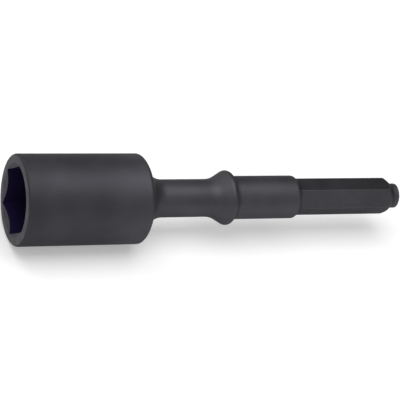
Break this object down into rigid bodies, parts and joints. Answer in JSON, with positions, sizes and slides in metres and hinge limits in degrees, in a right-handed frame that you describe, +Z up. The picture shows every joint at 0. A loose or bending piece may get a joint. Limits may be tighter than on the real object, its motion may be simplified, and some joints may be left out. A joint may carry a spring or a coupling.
{
  "type": "impact socket",
  "caption": "Impact socket with a hexagon nut mouth in a thick round barrel, on a hexagon hammer shank with a bead collar and a struck button end.",
  "frame": {"origin": "middle of the flat struck face at the end of the shank, on the tool's axis", "axes": "+X along the tool's axis, out of the struck face, so the nut mouth opens towards -X; +Z up, square to a flat of the drive hexagon, so the tool lies with another of its flats down"},
  "size_m": [0.2146, 0.046, 0.046],
  "materials": {
    "head_steel": "satin black oxide on forged and turned steel",
    "shank_steel": "satin black oxide on forged and turned steel",
    "washer_steel": "hardened steel, oiled",
    "ring_steel": "blued spring steel"
  },
  "bodies": {
    "root": {"socket_head": "head_steel", "drive_shank": "shank_steel", "thrust_washer": "washer_steel", "retaining_ring": "ring_steel"}
  },
  "joints": []
}
